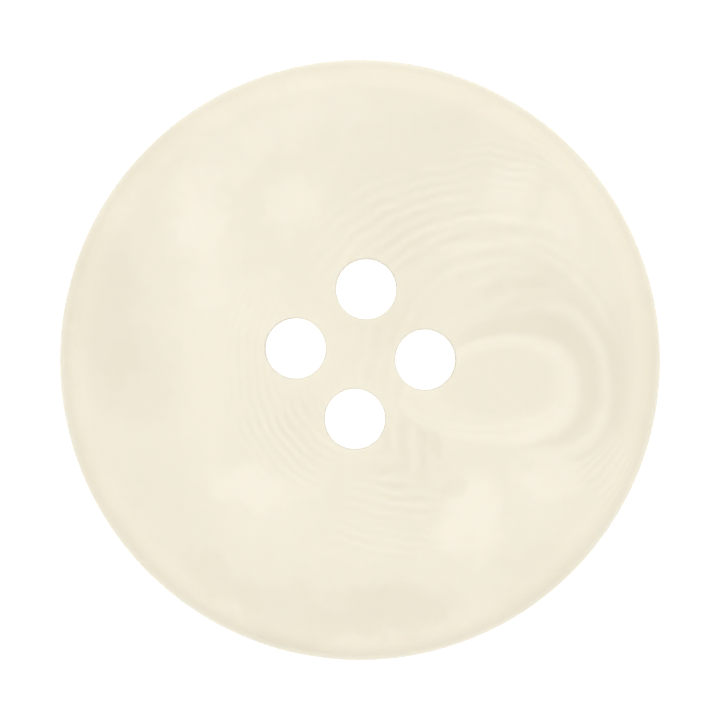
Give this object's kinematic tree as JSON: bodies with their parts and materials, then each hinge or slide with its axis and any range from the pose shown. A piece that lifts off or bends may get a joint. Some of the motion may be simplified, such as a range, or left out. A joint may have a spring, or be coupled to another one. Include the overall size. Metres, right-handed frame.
{
  "type": "sew-through button",
  "caption": "Round sew-through button with a shallow dished face, a softly rolled rim, a flat back and thread holes.",
  "frame": {"origin": "centre of the flat back", "axes": "+Z out of the dished face; +Y towards the thread hole on that side, and the hole pattern sits 0.2 mm that way"},
  "size_m": [0.02, 0.02, 0.003],
  "materials": {
    "button_blank": "polished, cream, with faint nested contour lines and cloudy lighter patches"
  },
  "bodies": {
    "root": {"button_disc": "button_blank"}
  },
  "joints": []
}
